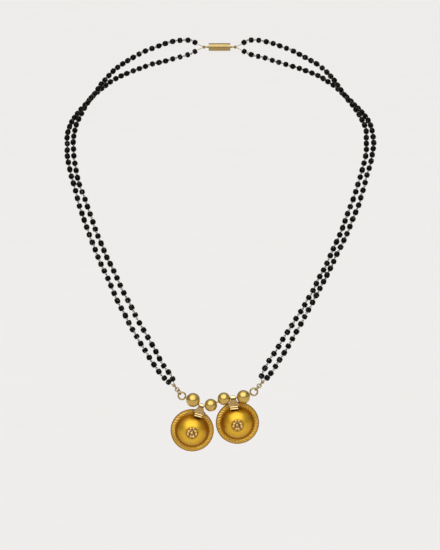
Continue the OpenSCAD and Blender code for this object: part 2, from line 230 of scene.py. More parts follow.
# A strand: its side, -1 for outer or 1 for inner, and its route from the front to the clasp
Strand = namedtuple("Strand", "side aside route")
STRANDS = {
    "strand_left_outer": Strand(-1, -1, [
        (-0.02, -0.1058, -0.1187), (-0.027, -0.101, -0.11), (-0.038, -0.093, -0.092),
        (-0.049, -0.08, -0.07), (-0.055, -0.0705, -0.055), (-0.059, -0.062, -0.042),
        (-0.0605, -0.054, -0.034), (-0.06, -0.046, -0.0275), (-0.056, -0.036, -0.022),
        (-0.0515, -0.0285, -0.0175), (-0.044, -0.0175, -0.012), (-0.033, -0.0075, -0.008),
        (-0.021, -0.0005, -0.005), (-0.013, 0.0015, -0.003),
    ]),
    "strand_left_inner": Strand(-1, 1, [
        (-0.0177, -0.1022, -0.1185), (-0.0245, -0.098, -0.1085), (-0.036, -0.091, -0.0885),
        (-0.0455, -0.08, -0.0705), (-0.052, -0.0705, -0.0555), (-0.0565, -0.062, -0.0435),
        (-0.058, -0.052, -0.032), (-0.057, -0.045, -0.0265), (-0.055, -0.04, -0.022),
        (-0.0515, -0.033, -0.017), (-0.0435, -0.019, -0.008), (-0.033, -0.0085, -0.002),
        (-0.021, -0.001, 0.002), (-0.013, 0.0015, 0.003),
    ]),
    "strand_right_outer": Strand(1, -1, [
        (0.0185, -0.1058, -0.117), (0.0255, -0.101, -0.107), (0.0365, -0.093, -0.089),
        (0.0475, -0.08, -0.0695), (0.0545, -0.0705, -0.055), (0.0595, -0.0605, -0.04),
        (0.061, -0.054, -0.0335), (0.0605, -0.046, -0.027), (0.0565, -0.0365, -0.022),
        (0.052, -0.0285, -0.018), (0.044, -0.0175, -0.012), (0.033, -0.0075, -0.008),
        (0.021, -0.0005, -0.005), (0.013, 0.0015, -0.003),
    ]),
    "strand_right_inner": Strand(1, 1, [
        (0.0155, -0.1022, -0.1173), (0.0225, -0.098, -0.1065), (0.0345, -0.091, -0.0885),
        (0.045, -0.0795, -0.07), (0.052, -0.069, -0.0545), (0.057, -0.06, -0.04),
        (0.0585, -0.051, -0.031), (0.0575, -0.0445, -0.0255), (0.0555, -0.04, -0.0225),
        (0.0515, -0.033, -0.0175), (0.0435, -0.019, -0.008), (0.033, -0.0085, -0.002),
        (0.021, -0.001, 0.002), (0.013, 0.0015, 0.003),
    ]),
}


class MangalsutraBeads(bpy.types.PropertyGroup):
    diameter: FloatProperty(
        name="Bead diameter", description="Diameter of one glass bead",
        default=2.3 * MM, unit="LENGTH")
    length: FloatProperty(
        name="Bead length", description="Length of one glass bead along the string",
        default=2.05 * MM, unit="LENGTH")
    hole: FloatProperty(
        name="Hole diameter", description="Diameter of the hole through a bead",
        default=0.68 * MM, unit="LENGTH")
    pitch: FloatProperty(
        name="Pitch", description="Distance from one bead to the next",
        default=3.27 * MM, unit="LENGTH")
    eye_r: FloatProperty(
        name="Eye radius", description="Radius of the wire eyes between two beads",
        default=0.36 * MM, unit="LENGTH")
    wire_d: FloatProperty(
        name="Wire diameter", description="Diameter of the wire through the beads",
        default=0.23 * MM, unit="LENGTH")
    colour: StringProperty(name="Glass colour", description="sRGB hex value", default="#020203")
    # Pale grey of the specks painted on the beads as glints: a painted highlight
    painted_glint: StringProperty(name="Dust", description="sRGB hex value of dust in the pits",
                         default="#67635C")


class MangalsutraBowls(bpy.types.PropertyGroup):
    gold: StringProperty(name="Satin gold", description="sRGB hex value", default="#E6B73A")
    # Deep gold: the colour of the painted shade round the petals and in the groove, and of the
    # painted dark reflection on the rim's lip
    deep: StringProperty(
        name="Deep gold", description="sRGB hex value of the gold near the groove",
        default="#9C620F")
    # Pale gold of the grains, ribs and band over the wire: a painted highlight
    pale: StringProperty(
        name="Cut gold", description="sRGB hex value of the bright-cut gold",
        default="#FFEAB2")
    cuts: IntProperty(
        name="Rim cuts", description="Slanting cuts round the rim", default=40, min=8)
    cut_depth: FloatProperty(
        name="Cut depth", description="Depth of the rim's cuts",
        default=0.2 * MM, unit="LENGTH")


class MangalsutraMetal(bpy.types.PropertyGroup):
    gold: StringProperty(name="Polished gold", description="sRGB hex value", default="#DEC06E")
    wire: StringProperty(name="Wire gold", description="sRGB hex value", default="#B9A26C")


class MangalsutraStage(bpy.types.PropertyGroup):
    backdrop: StringProperty(name="Backdrop", description="sRGB hex value", default="#ECEAE8")
    light: FloatProperty(
        name="Room light", description="Strength of the room's soft light", default=0.66, min=0)
    key: FloatProperty(
        name="Key light", description="Strength of the key light", default=2.0, min=0)
    key_width: FloatProperty(
        name="Key width", description="Angle in degrees that the key light fills",
        default=84, min=1)


def linear(hex_colour):
    """Linear RGBA of an sRGB hex value."""
    channels = [int(hex_colour[i:i + 2], 16) / 255 for i in (1, 3, 5)]
    return tuple(
        c / 12.92 if c <= 0.04045 else ((c + 0.055) / 1.055) ** 2.4 for c in channels
    ) + (1,)


def add(tree, kind, links=None, **settings):
    """A node of that kind, with its settings, and its inputs set or linked by name."""
    node = tree.nodes.new(kind)
    for name, value in settings.items():
        setattr(node, name, value)
    for name, value in (links or {}).items():
        if isinstance(value, bpy.types.NodeSocket):
            tree.links.new(value, node.inputs[name])
        else:
            node.inputs[name].default_value = value
    return node


def set_ramp(node, levels):
    """Gives a colour ramp these grey levels: position and level."""
    elements = node.color_ramp.elements
    while len(elements) < len(levels):
        elements.new(1.0)
    for element, (position, level) in zip(elements, levels):
        element.position = position
        element.color = (level, level, level, 1)


def new_material(name):
    """An empty material and its node tree."""
    material = bpy.data.materials.new(name)
    material.use_nodes = True
    material.node_tree.nodes.clear()
    return material, material.node_tree


def finish_material(tree, shader):
    """Puts the shader on the material's surface."""
    add(tree, "ShaderNodeOutputMaterial", {"Surface": shader.outputs["BSDF"]})


def satin_gold(bowls):
    """Spun gold sheet, frosted with fine grit: broad soft highlights, and a deeper colour painted
    in as shade round the petals and down the dome into the groove, and as a dark reflection on the
    rim's lip."""
    material, tree = new_material("gold_sheet_frosted")
    place = add(tree, "ShaderNodeUVMap", uv_map="turned")
    axes = add(tree, "ShaderNodeSeparateXYZ", {"Vector": place.outputs["UV"]})
    at = add(tree, "ShaderNodeTexCoord")
    # Blotches about 2.5 mm wide, left by hand frosting
    blotch = add(
        tree, "ShaderNodeTexNoise",
        {"Vector": at.outputs["Object"], "Scale": 1 / (2.5 * MM), "Detail": 3.0})
    depth = add(tree, "ShaderNodeValToRGB", {"Fac": axes.outputs["Y"]})
    # Share of the deep colour from the middle of the dome out to the rim's edge: painted shade
    # round the petals, growing down the dome into the groove, half on the rim, and a painted dark
    # reflection on its lip
    set_ramp(depth, [
        (0.28, 1.0), (0.32, 0.0), (0.46, 0.14), (0.62, 0.55), (0.73, 1.0), (0.79, 0.56),
        (0.945, 0.5), (0.96, 1.0)])
    # The painted shade takes up to 0.8 of the deep colour
    shade_share = add(
        tree, "ShaderNodeMath",
        {0: depth.outputs["Color"], 1: 0.8}, operation="MULTIPLY")
    spread = add(
        tree, "ShaderNodeMath",
        {0: blotch.outputs["Fac"], 1: 0.3, 2: shade_share.outputs[0]}, operation="MULTIPLY_ADD")
    # Lines about 0.9 mm apart, left by the spinning tool
    spun = add(
        tree, "ShaderNodeMath", {0: axes.outputs["Y"], 1: 2 * math.pi * VATI_R / (0.9 * MM)},
        operation="MULTIPLY")
    lines = add(tree, "ShaderNodeMath", {0: spun.outputs[0]}, operation="SINE")
    lined = add(
        tree, "ShaderNodeMath",
        {0: lines.outputs[0], 1: 0.06, 2: spread.outputs[0]}, operation="MULTIPLY_ADD")
    shift = add(
        tree, "ShaderNodeMath", {0: lined.outputs[0], 1: 0.12}, operation="SUBTRACT",
        use_clamp=True)
    colour = add(
        tree, "ShaderNodeMix",
        {"Factor": shift.outputs[0], "A": linear(bowls.gold), "B": linear(bowls.deep)},
        data_type="RGBA")
    # Grit marks, drawn 0.35 mm wide so that they show
    grit = add(
        tree, "ShaderNodeTexNoise",
        {"Vector": at.outputs["Object"], "Scale": 1 / (0.35 * MM), "Detail": 4.0,
         "Roughness": 0.7})
    ridged = add(
        tree, "ShaderNodeBump",
        {"Height": lines.outputs[0], "Strength": 0.3, "Distance": 0.015 * MM})
    bump = add(
        tree, "ShaderNodeBump",
        {"Height": grit.outputs["Fac"], "Strength": 0.35, "Distance": 0.04 * MM,
         "Normal": ridged.outputs["Normal"]})
    rough = add(
        tree, "ShaderNodeMapRange",
        {"Value": grit.outputs["Fac"], "To Min": 0.36, "To Max": 0.5})
    shader = add(
        tree, "ShaderNodeBsdfPrincipled",
        {"Base Color": colour.outputs["Result"], "Metallic": 1.0,
         "Roughness": rough.outputs["Result"], "Normal": bump.outputs["Normal"]})
    finish_material(tree, shader)
    return material


def polished_gold(name, colour, smear, rough):
    """Gold, drawn, burnished or cut with a polished tool: mirror-like, with slight scuffs
    that take the smear's colour. Its roughness runs from the first value to the second."""
    material, tree = new_material(name)
    at = add(tree, "ShaderNodeTexCoord")
    # Scuffs and finger marks about 0.8 mm wide
    scuff = add(
        tree, "ShaderNodeTexNoise",
        {"Vector": at.outputs["Object"], "Scale": 1 / (0.8 * MM), "Detail": 4.0})
    rough = add(
        tree, "ShaderNodeMapRange",
        {"Value": scuff.outputs["Fac"], "To Min": rough[0], "To Max": rough[1]})
    tint = add(
        tree, "ShaderNodeMix",
        {"Factor": scuff.outputs["Fac"], "A": linear(colour), "B": linear(smear)},
        data_type="RGBA")
    bump = add(
        tree, "ShaderNodeBump",
        {"Height": scuff.outputs["Fac"], "Strength": 0.12, "Distance": 0.05 * MM})
    shader = add(
        tree, "ShaderNodeBsdfPrincipled",
        {"Base Color": tint.outputs["Result"], "Metallic": 1.0,
         "Roughness": rough.outputs["Result"], "Normal": bump.outputs["Normal"]})
    finish_material(tree, shader)
    return material


def black_glass(beads):
    """Fired black glass: nearly black, with a faint gloss, ripples and small pale specks painted
    into its colour as glints.
    """
    material, tree = new_material("glass_black_fired")
    at = add(tree, "ShaderNodeTexCoord")
    # Ripples about 0.9 mm apart, from the cut and fired cane
    ripple = add(
        tree, "ShaderNodeTexNoise",
        {"Vector": at.outputs["Object"], "Scale": 1 / (0.9 * MM), "Detail": 1.0})
    bump = add(
        tree, "ShaderNodeBump",
        {"Height": ripple.outputs["Fac"], "Strength": 0.3, "Distance": 0.08 * MM})
    rough = add(
        tree, "ShaderNodeMapRange",
        {"Value": ripple.outputs["Fac"], "To Min": 0.08, "To Max": 0.22})
    # Specks about 0.2 mm wide in a pattern of 0.5 mm, painted pale: painted highlights
    glint_specks = add(
        tree, "ShaderNodeTexNoise",
        {"Vector": at.outputs["Object"], "Scale": 1 / (0.5 * MM), "Detail": 1.0})
    glint_share = add(
        tree, "ShaderNodeMapRange",
        {"Value": glint_specks.outputs["Fac"], "From Min": 0.65, "From Max": 0.71})
    tint = add(
        tree, "ShaderNodeMix",
        {"Factor": glint_share.outputs["Result"], "A": linear(beads.colour), "B": linear(beads.painted_glint)},
        data_type="RGBA")
    shader = add(
        tree, "ShaderNodeBsdfPrincipled",
        {"Base Color": tint.outputs["Result"], "IOR": 1.52, "Specular IOR Level": 0.06,
         "Roughness": rough.outputs["Result"], "Normal": bump.outputs["Normal"]})
    finish_material(tree, shader)
    return material


def matte_paper(colour):
    """Seamless background paper: flat and very slightly mottled."""
    material, tree = new_material("paper_background")
    at = add(tree, "ShaderNodeTexCoord")
    # Mottle about 60 mm wide
    mottle = add(
        tree, "ShaderNodeTexNoise", {"Vector": at.outputs["Object"], "Scale": 1 / (60 * MM)})
    tint = add(
        tree, "ShaderNodeMapRange",
        {"Value": mottle.outputs["Fac"], "To Min": 0.97, "To Max": 1.0})
    shade = add(
        tree, "ShaderNodeMix",
        {"Factor": 1.0, "A": linear(colour), "B": tint.outputs["Result"]},
        data_type="RGBA", blend_type="MULTIPLY")
    shader = add(
        tree, "ShaderNodeBsdfPrincipled",
        {"Base Color": shade.outputs["Result"], "Roughness": 0.9,
         "Specular IOR Level": 0.1})
    finish_material(tree, shader)
    return material


def shown(name, bm, materials, body, sharp):
    """A piece made of that mesh, which rides on a body. Edges where its faces meet at more
    than that many degrees stay crisp."""
    bmesh.ops.recalc_face_normals(bm, faces=bm.faces)
    mesh = bpy.data.meshes.new(name)
    bm.to_mesh(mesh)
    bm.free()
    mesh.shade_smooth()
    mesh.set_sharp_from_angle(angle=math.radians(sharp))
    for material in materials:
        mesh.materials.append(material)
    piece = bpy.data.objects.new(name, mesh)
    bpy.context.scene.collection.objects.link(piece)
    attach(piece, body)
    return piece


def skin(bm, rings, material=0):
    """Walls between rings of equally many points, with flat ends."""
    rows = [[bm.verts.new(point) for point in ring] for ring in rings]
    n = len(rows[0])
    for low, high in zip(rows, rows[1:]):
        for k in range(n):
            face = bm.faces.new((low[k], low[(k + 1) % n], high[(k + 1) % n], high[k]))
            face.material_index = material
    for end in (rows[0], rows[-1]):
        bm.faces.new(end).material_index = material


def turn(bm, profile, place, sides, hollow=False):
    """Walls turned round the place's Z axis. A point on the axis closes the form, and the
    half section of a hollow one is closed in itself."""
    rows = []
    for r, z in profile:
        count = sides if r > 0 else 1
        rows.append([
            bm.verts.new(place @ Vector((
                r * math.cos(2 * math.pi * k / sides), r * math.sin(2 * math.pi * k / sides), z)))
            for k in range(count)
        ])
    if hollow:
        rows.append(rows[0])
    for low, high in zip(rows, rows[1:]):
        for k in range(sides):
            corners = [low[k % len(low)], low[(k + 1) % len(low)],
                       high[(k + 1) % len(high)], high[k % len(high)]]
            corners = list(dict.fromkeys(corners))
            if len(corners) > 2:
                bm.faces.new(corners)


def wire_ring(bm, place, r, wire_d, sides):
    """A closed ring of wire round the place's Z axis."""
    rows = []
    for k in range(sides):
        a = 2 * math.pi * k / sides
        rows.append([
            bm.verts.new(place @ Vector((
                (r + wire_d / 2 * math.cos(b)) * math.cos(a),
                (r + wire_d / 2 * math.cos(b)) * math.sin(a),
                wire_d / 2 * math.sin(b))))
            for b in (2 * math.pi * j / WIRE_SIDES for j in range(WIRE_SIDES))
        ])
    for k in range(sides):
        low, high = rows[k], rows[(k + 1) % sides]
        for j in range(WIRE_SIDES):
            bm.faces.new((low[j], low[(j + 1) % WIRE_SIDES],
                          high[(j + 1) % WIRE_SIDES], high[j]))


def frame_at(origin, z_axis, x_hint):
    """A matrix with its Z along an axis and its X near a hint."""
    z = z_axis.normalized()
    x = (x_hint - x_hint.dot(z) * z).normalized()
    y = z.cross(x)
    return Matrix((
        (x.x, y.x, z.x, origin.x), (x.y, y.y, z.y, origin.y),
        (x.z, y.z, z.z, origin.z), (0, 0, 0, 1)))


def leaning(degrees):
    """Up, leaning to the right by that angle."""
    return Vector((math.sin(math.radians(degrees)), 0, math.cos(math.radians(degrees))))


def mate(ring_r, ring_wire, next_r, next_wire, aside=0.0):
    """Distance between the centres of two rings that hang in each other, the second one
    moved aside by that much."""
    reach = ring_r - (ring_wire + next_wire) / 2 - LINK_GAP
    return math.sqrt(reach ** 2 - aside ** 2) + next_r


END_ASIDE = (END_WIRE_D + RING_GAP) / 2
RINGS_AT = (
    mate(EYE_R, EYE_WIRE_D, JUMP_R, LINK_WIRE_D)
    + mate(JUMP_R, LINK_WIRE_D, MIDDLE_LINK_R, LINK_WIRE_D)
    + mate(MIDDLE_LINK_R, LINK_WIRE_D, END_LINK_R, LINK_WIRE_D)
    + mate(END_LINK_R, LINK_WIRE_D, END_RING_R, END_WIRE_D, END_ASIDE)
)
BACK_RINGS_AT = BARREL_L / 2 + CLASP_EYE_R + mate(
    CLASP_EYE_R, CLASP_WIRE_D, END_RING_R, END_WIRE_D, END_ASIDE)


def start_of(ring, shank_l, towards):
    """Where a strand starts, at the end of a ring's shank."""
    return ring + (END_RING_R + shank_l) * (towards - ring).normalized()


def between(a, b, c, d, t):
    """A point of the smooth curve from b to c, with a before them and d after."""
    return 0.5 * (
        2 * b + (c - a) * t + (2 * a - 5 * b + 4 * c - d) * t ** 2
        + (3 * b - a - 3 * c + d) * t ** 3)


def string_points(strand):
    """The strand's line from the front to the clasp, as the CAD model curves it."""
    points = [Vector(p) for p in strand.route]
    aside = strand.aside * END_ASIDE
    front = EYES[strand.side] + RINGS_AT * leaning(CHAIN_LEAN[strand.side]) + aside * BACK
    back = (BARREL_D / 2 + aside) * BACK + strand.side * BACK_RINGS_AT * ACROSS
    points.insert(0, start_of(front, FRONT_SHANK_L, points[0]))
    points.append(start_of(back, BACK_SHANK_L, points[-1]))
    padded = [2 * points[0] - points[1], *points, 2 * points[-1] - points[-2]]
    line = [between(a, b, c, d, k / ROUTE_STEPS)
            for a, b, c, d in zip(padded, padded[1:], padded[2:], padded[3:])
            for k in range(ROUTE_STEPS)]
    return line + [points[-1]]


def along(line, distance):
    """The point at a distance along a line."""
    left = distance
    for a, b in zip(line, line[1:]):
        step = (b - a).length
        if left <= step:
            return a + (b - a) * (left / step)
        left -= step
    return line[-1] + left * (line[-1] - line[-2]).normalized()


def bead_profile(beads):
    """Half section of a rounded glass bead, closed in itself through the hole."""
    r, half, hole = beads.diameter / 2, beads.length / 2, beads.hole / 2
    outside = [
        (hole, 0.84), (hole + 0.12 * (r - hole), 0.97), (hole + 0.28 * (r - hole), 1.0),
        (0.68 * r, 0.93), (0.84 * r, 0.78), (0.94 * r, 0.56), (0.985 * r, 0.3), (r, 0),
    ]
    front = [(x, -y * half) for x, y in outside]
    back = [(x, y * half) for x, y in reversed(outside[:-1])]
    return front + back


def end_room(beads):
    """Distance from an end of a string to the middle of the bead there."""
    return beads.length / 2 + END_PLAY


def joints_along(line, beads, extra, dice):
    """Ends of the string and the joints between them, where each bead's eye holds the next
    one's. The first and last beads sit close to the ends, and the first link is longer by
    that extra."""
    length = sum((b - a).length for a, b in zip(line, line[1:]))
    edge = end_room(beads)
    room = length - 2 * edge - extra
    count = round(room / beads.pitch) + 1
    shares = [dice.uniform(*LINK_SHARES) for _ in range(count - 2)]
    even = sum(shares) / len(shares)
    # Links are straight where the line bends, so the pitch shrinks a little to fit them all
    lost = 0.0
    for _ in range(FITTINGS):
        pitch = (room - lost) / (count - 1)
        reaches = [edge + extra + pitch / 2] + [pitch * share / even for share in shares]
        joints, gone = [line[0]], 0.0
        for reach in reaches:
            gone += reach
            while (along(line, gone) - joints[-1]).length < reach:
                gone += STEP
            joints.append(along(line, gone))
        lost += gone + pitch / 2 + edge - length
    # Each joint then wavers across the string
    after = [*joints[1:], line[-1]]
    for i in range(1, len(joints)):
        go = (after[i] - joints[i - 1]).normalized()
        off = WAVER * Vector([dice.uniform(-1, 1) for _ in range(3)])
        joints[i] = joints[i] + off - off.dot(go) * go
    return [*joints, line[-1]]


def bead_place(at, direction, slides, dice):
    """Where one bead sits: a little askew, slid along its wire if it can, and no two alike."""
    askew = Vector([dice.uniform(-1, 1) for _ in range(3)])
    slid = dice.uniform(-SLIDE, SLIDE) if slides else 0
    place = frame_at(at + slid * direction, direction + BEAD_LEAN * askew, BACK)
    size = [dice.uniform(*WIDTH_SHARES) for _ in range(2)] + [dice.uniform(*LENGTH_SHARES)]
    spin = Matrix.Rotation(dice.uniform(0, math.pi), 4, "Z")
    return place @ spin @ Matrix.Diagonal((*size, 1))


def string_beads(name, beads, glass, gold):
    """Beads and their wire eyes along one strand."""
    strand = STRANDS[name]
    dice = random.Random(name)
    extra = beads.length + PAIR_GAP if strand.aside < 0 else 0.0
    joints = joints_along(string_points(strand), beads, extra, dice)
    last = len(joints) - 2
    eye_room = 2 * beads.eye_r - beads.wire_d / 2 - EYE_PLAY
    profile = bead_profile(beads)
    bead_mesh, wire_mesh = bmesh.new(), bmesh.new()
    for i, (start, end) in enumerate(zip(joints, joints[1:])):
        direction = (end - start).normalized()
        at = (start + end) / 2
        if i == 0:
            at = start + end_room(beads) * direction
        if i == last:
            at = end - end_room(beads) * direction
        shifts = [0, extra] if i == 0 and extra else [0]
        for shift in shifts:
            place = bead_place(at + shift * direction, direction, 0 < i < last, dice)
            turn(bead_mesh, profile, place, BEAD_SIDES, hollow=True)
        # Eyes that hold each other stand crosswise
        twist = math.radians(90 * (i % 2) + dice.uniform(-EYE_TWIST, EYE_TWIST))
        along_wire = frame_at(at, direction, BACK)
        twisted = along_wire @ Matrix.Rotation(twist, 4, "Z")
        low = (start - at).dot(direction) + (eye_room if i > 0 else -END_PLAY)
        high = (end - at).dot(direction) - (eye_room if i < last else -END_PLAY)
        eyes = []
        if i > 0:
            eyes.append(low - beads.eye_r)
        if i < last:
            eyes.append(high + beads.eye_r)
        for z in eyes:
            eye = twisted @ Matrix.Translation((0, 0, z)) @ ON_EDGE
            wire_ring(wire_mesh, eye, beads.eye_r, beads.wire_d, EYE_SIDES)
        wire_r = beads.wire_d / 2
        core = [(0, low), (wire_r, low), (wire_r, high), (0, high)]
        turn(wire_mesh, core, along_wire, WIRE_SIDES)
    label = name.replace("strand_", "")
    piece = shown("beads_" + label, bead_mesh, [glass], "necklace", sharp=50)
    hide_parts(name)
    shown("bead_wires_" + label, wire_mesh, [gold], "necklace", sharp=50)


def bowl_place(bowl):
    """Where a bowl's axis and front are: Z out of the dome, X across."""
    centre = bowl.at - (bowl.neck + VATI_R) * leaning(bowl.lean) + RIM_SET_BACK * BACK
    return frame_at(centre, -BACK, ACROSS)


def bowl_front():
    """Half section of the front, from the middle of the dome to the rim's edge: radius,
    height and the share of their depth that the cuts have there."""
    foot = math.asin((DOME_BASE_R - GROOVE_LAP) / DOME_R)
    angles = [foot * k / DOME_STEPS for k in range(DOME_STEPS + 1)]
    dome = [(DOME_R * math.sin(a), DOME_CENTRE + DOME_R * math.cos(a), 0) for a in angles]
    groove = [(DOME_BASE_R + out * MM, up * MM, 0) for out, up in GROOVE]
    inner, outer = DOME_BASE_R + BAND_FROM_FOOT, VATI_R - BAND_FROM_EDGE
    band = []
    for k in range(BAND_STEPS + 1):
        s = k / BAND_STEPS
        # The cuts run out at both edges of the band
        depth = min(1, 4 * s + 0.1, 4 * (1 - s) + 0.1)
        band.append((inner + (outer - inner) * s, BAND_H * math.sin(math.pi * s), depth))
    lip = [(VATI_R - within * MM, up * MM, 0) for within, up in LIP]
    return dome + groove + band + lip


def bowl_back():
    """Half section of the back, from the rim to the middle of the hollow."""
    mouth_r = math.sqrt(INNER_R ** 2 - (RIM_T + DOME_CENTRE) ** 2)
    mouth = math.acos((-RIM_T - DOME_CENTRE) / INNER_R)
    angles = [mouth * (1 - k / HOLLOW_STEPS) for k in range(HOLLOW_STEPS + 1)]
    flat = [(VATI_R - BACK_INSET, -RIM_T, 0), (mouth_r + MOUTH_LAND, -RIM_T, 0)]
    return flat + [
        (INNER_R * math.sin(a), DOME_CENTRE + INNER_R * math.cos(a), 0) for a in angles]


def cut_at(r, spot, strength):
    """How deep the cuts are at that radius and spot round the rim, from 0 to 1."""
    rim_middle = VATI_R - RIM_W / 2
    turns = (spot / CUT_SPOTS - CUT_LEAN * (r - rim_middle)) % len(strength)
    off = abs(turns % 1 - 0.5) / CUT_HALF
    return strength[int(turns) % len(strength)] * max(0, 1 - off)


def build_bowl(side, bowls, satin, milled, painted_shade):
    """Rim, dome and hollow as one turned sheet, with slanting cuts in the rim, painted shade
    between the petals and a painted dark reflection along the rim's edge."""
    bowl = BOWLS[side]
    place = bowl_place(bowl)
    sides = CUT_SPOTS * bowls.cuts
    dice = random.Random("rim " + side)
    strength = [dice.uniform(SHALLOWEST_CUT, 1) for _ in range(bowls.cuts)]
    front = bowl_front()
    section = front + bowl_back()
    bm = bmesh.new()
    layer = bm.loops.layers.uv.new("turned")
    rows, depths = [], []
    for r, z, share in section:
        count = sides if r > 0 else 1
        dips = [share * cut_at(r, k, strength) for k in range(count)]
        rows.append([
            bm.verts.new(place @ Vector((
                r * math.cos(2 * math.pi * k / sides), r * math.sin(2 * math.pi * k / sides),
                z - bowls.cut_depth * dip)))
            for k, dip in enumerate(dips)
        ])
        depths.append(dips)
    for n in range(len(section) - 1):
        here, there = section[n][0], section[n + 1][0]
        on_edge = min(here, there) > EDGE_R
        round_button = n < DOME_STEPS and max(here, there) < ROSETTE_R
        for k in range(sides):
            corners = {}
            for row, spot in ((n, k), (n, k + 1), (n + 1, k + 1), (n + 1, k)):
                corners.setdefault(rows[row][spot % len(rows[row])], (row, spot))
            face = bm.faces.new(list(corners))
            depth = min(depths[row][k % len(depths[row])] for row in (n, n + 1))
            # Faces on the rim's edge and round the button take the dull brown: a painted dark
            # reflection and painted shade
            if on_edge or round_button:
                face.material_index = 2
            # Faces deep in a cut take the pale cut colour: a painted glint
            elif depth > CUT_BRIGHT:
                face.material_index = 1
            for loop, (row, spot) in zip(face.loops, corners.values()):
                share = section[row][0] / VATI_R if row < len(front) else BACK_SHADE
                loop[layer].uv = (spot / sides, share)
    piece = shown(
        "bowl_" + side, bm, [satin, milled, painted_shade], bowl.body, sharp=24)
    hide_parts("vati_" + side)


def build_rosette(side, faceted):
    """Petals round a button that stands a little higher, each cut in flat facets."""
    bowl = BOWLS[side]
    dome = bowl_place(bowl) @ Matrix.Translation((0, 0, DOME_CENTRE))
    # Points that would come out inside the sheet are drawn up to its middle
    sunk = DOME_R - SHEET_T / 2
    bm = bmesh.new()
    seat_r = DOME_R + PETAL_H - PETAL_R
    lean = math.asin(PETAL_RING_R / seat_r)
    spots = [
        Matrix.Rotation((i + 0.5) * 2 * math.pi / PETALS, 4, "Z")
        @ Matrix.Rotation(lean, 4, "Y") @ Matrix.Translation((0, 0, seat_r))
        for i in range(PETALS)
    ]
    spots.append(Matrix.Translation((0, 0, seat_r + PETAL_H / 3)))
    # The facets cut the corners of their ball, so it is made a little larger
    for spot in spots:
        made = bmesh.ops.create_icosphere(bm, subdivisions=1, radius=1.1 * PETAL_R)["verts"]
        for vert in made:
            at = spot @ vert.co
            if at.length < sunk:
                at = at.normalized() * sunk
            vert.co = dome @ at
    shown("rosette_" + side, bm, [faceted], bowl.body, sharp=5)


def leaf_outline(share):
    """The leaf's outline, smoothed, shrunk towards its middle."""
    rows = [Vector((half * LEAF_W / 2, -down * LEAF_L)) for down, half in LEAF]
    padded = [rows[0], *rows, rows[-1]]
    smooth = [between(a, b, c, d, k / LEAF_STEPS)
              for a, b, c, d in zip(padded, padded[1:], padded[2:], padded[3:])
              for k in range(LEAF_STEPS)] + [rows[-1]]
    middle = -LEAF_MIDDLE * LEAF_L
    right = [(p.x * share, middle + (p.y - middle) * share) for p in smooth]
    return right + [(-x, z) for x, z in reversed(right)]


def add_leaf(bm, place):
    """Leaf with its rows of grains, and a block with two ribs at its foot."""
    # The leaf's ground takes the darker colour: painted shade between its grains
    skin(bm, [[place @ Vector((x, -y, z)) for x, z in leaf_outline(share)]
              for share, y in LEAF_EDGE], material=1)
    bead = [(r * MM, z * MM) for r, z in GRAIN_BEAD]
    for down, count in GRAIN_ROWS:
        for i in range(count):
            spot = Vector(((i - (count - 1) / 2) * GRAIN_PITCH, -BAIL_R, -down * LEAF_L))
            seat = place @ frame_at(spot, -BACK, ACROSS)
            wire_ring(bm, seat, GRAIN_RING_R, GRAIN_WIRE_D, GRAIN_RING_SIDES)
            turn(bm, bead, seat, GRAIN_BEAD_SIDES)
    half = LEAF[-1][1] * LEAF_W / 2
    block = [(-BAIL_R, -LEAF_L), (-BAIL_R, BLOCK_H - LEAF_L),
             (RIM_SET_BACK, BLOCK_H - LEAF_L), (RIM_SET_BACK, -LEAF_L)]
    # The ribs' block takes the darker colour too: painted shade between the ribs
    skin(bm, [[place @ Vector((x, y, z)) for y, z in block] for x in (-half, half)], material=1)
    for i in range(2):
        centre = Vector((0, -BAIL_R, (i + 0.5) * RIB_PITCH - LEAF_L))
        rib = place @ frame_at(centre, ACROSS, UP)
        r, reach = RIB_R, half + RIB_REACH
        turn(bm, [(0, -reach), (0.7 * r, -reach), (r, -reach + 0.3 * r),
                  (r, reach - 0.3 * r), (0.7 * r, reach), (0, reach)], rib, RIB_SIDES)


def add_strap(bm, place, neck):
    """Band over the wire and strap down to the back of the rim, swept as one strip."""
    middle = BAIL_HOLE_R + BAIL_T / 2
    strap_y = RIM_SET_BACK + RIM_T + BAIL_T / 2
    line = [(-middle * math.cos(math.radians(a)), middle * math.sin(math.radians(a)))
            for a in range(0, 181, 12)]
    line += [(middle + share * (strap_y - middle), -share * neck) for share in (0.25, 0.75)]
    line += [(strap_y, -neck), (strap_y, -neck - STRAP_LAP)]
    w, t, c = BAIL_W / 2, BAIL_T / 2, STRAP_CHAMFER
    section = [(-w, t - c), (-w + c, t), (w - c, t), (w, t - c),
               (w, -t + c), (w - c, -t), (-w + c, -t), (-w, -t + c)]
    rings = []
    for i, (y, z) in enumerate(line):
        before, after = line[max(i - 1, 0)], line[min(i + 1, len(line) - 1)]
        go = Vector((0, after[0] - before[0], after[1] - before[1])).normalized()
        out = Vector((0, -go.z, go.y))
        rings.append([place @ (Vector((x, y, z)) + d * out) for x, d in section])
    skin(bm, rings)


def build_bail(side, bright, recessed):
    """The bail: a leaf in front, and a band and strap that carry the bowl."""
    bowl = BOWLS[side]
    place = Matrix.Translation(bowl.at) @ Matrix.Rotation(math.radians(bowl.tilt), 4, "Y")
    bm = bmesh.new()
    add_leaf(bm, place)
    add_strap(bm, place, bowl.neck)
    shown("bail_" + side, bm, [bright, recessed], bowl.body, sharp=35)


def dress(node, material):
    """Gives a CAD node its finish."""
    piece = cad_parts[node]
    if not piece.material_slots:
        piece.data.materials.append(material)
    for slot in piece.material_slots:
        slot.material = material


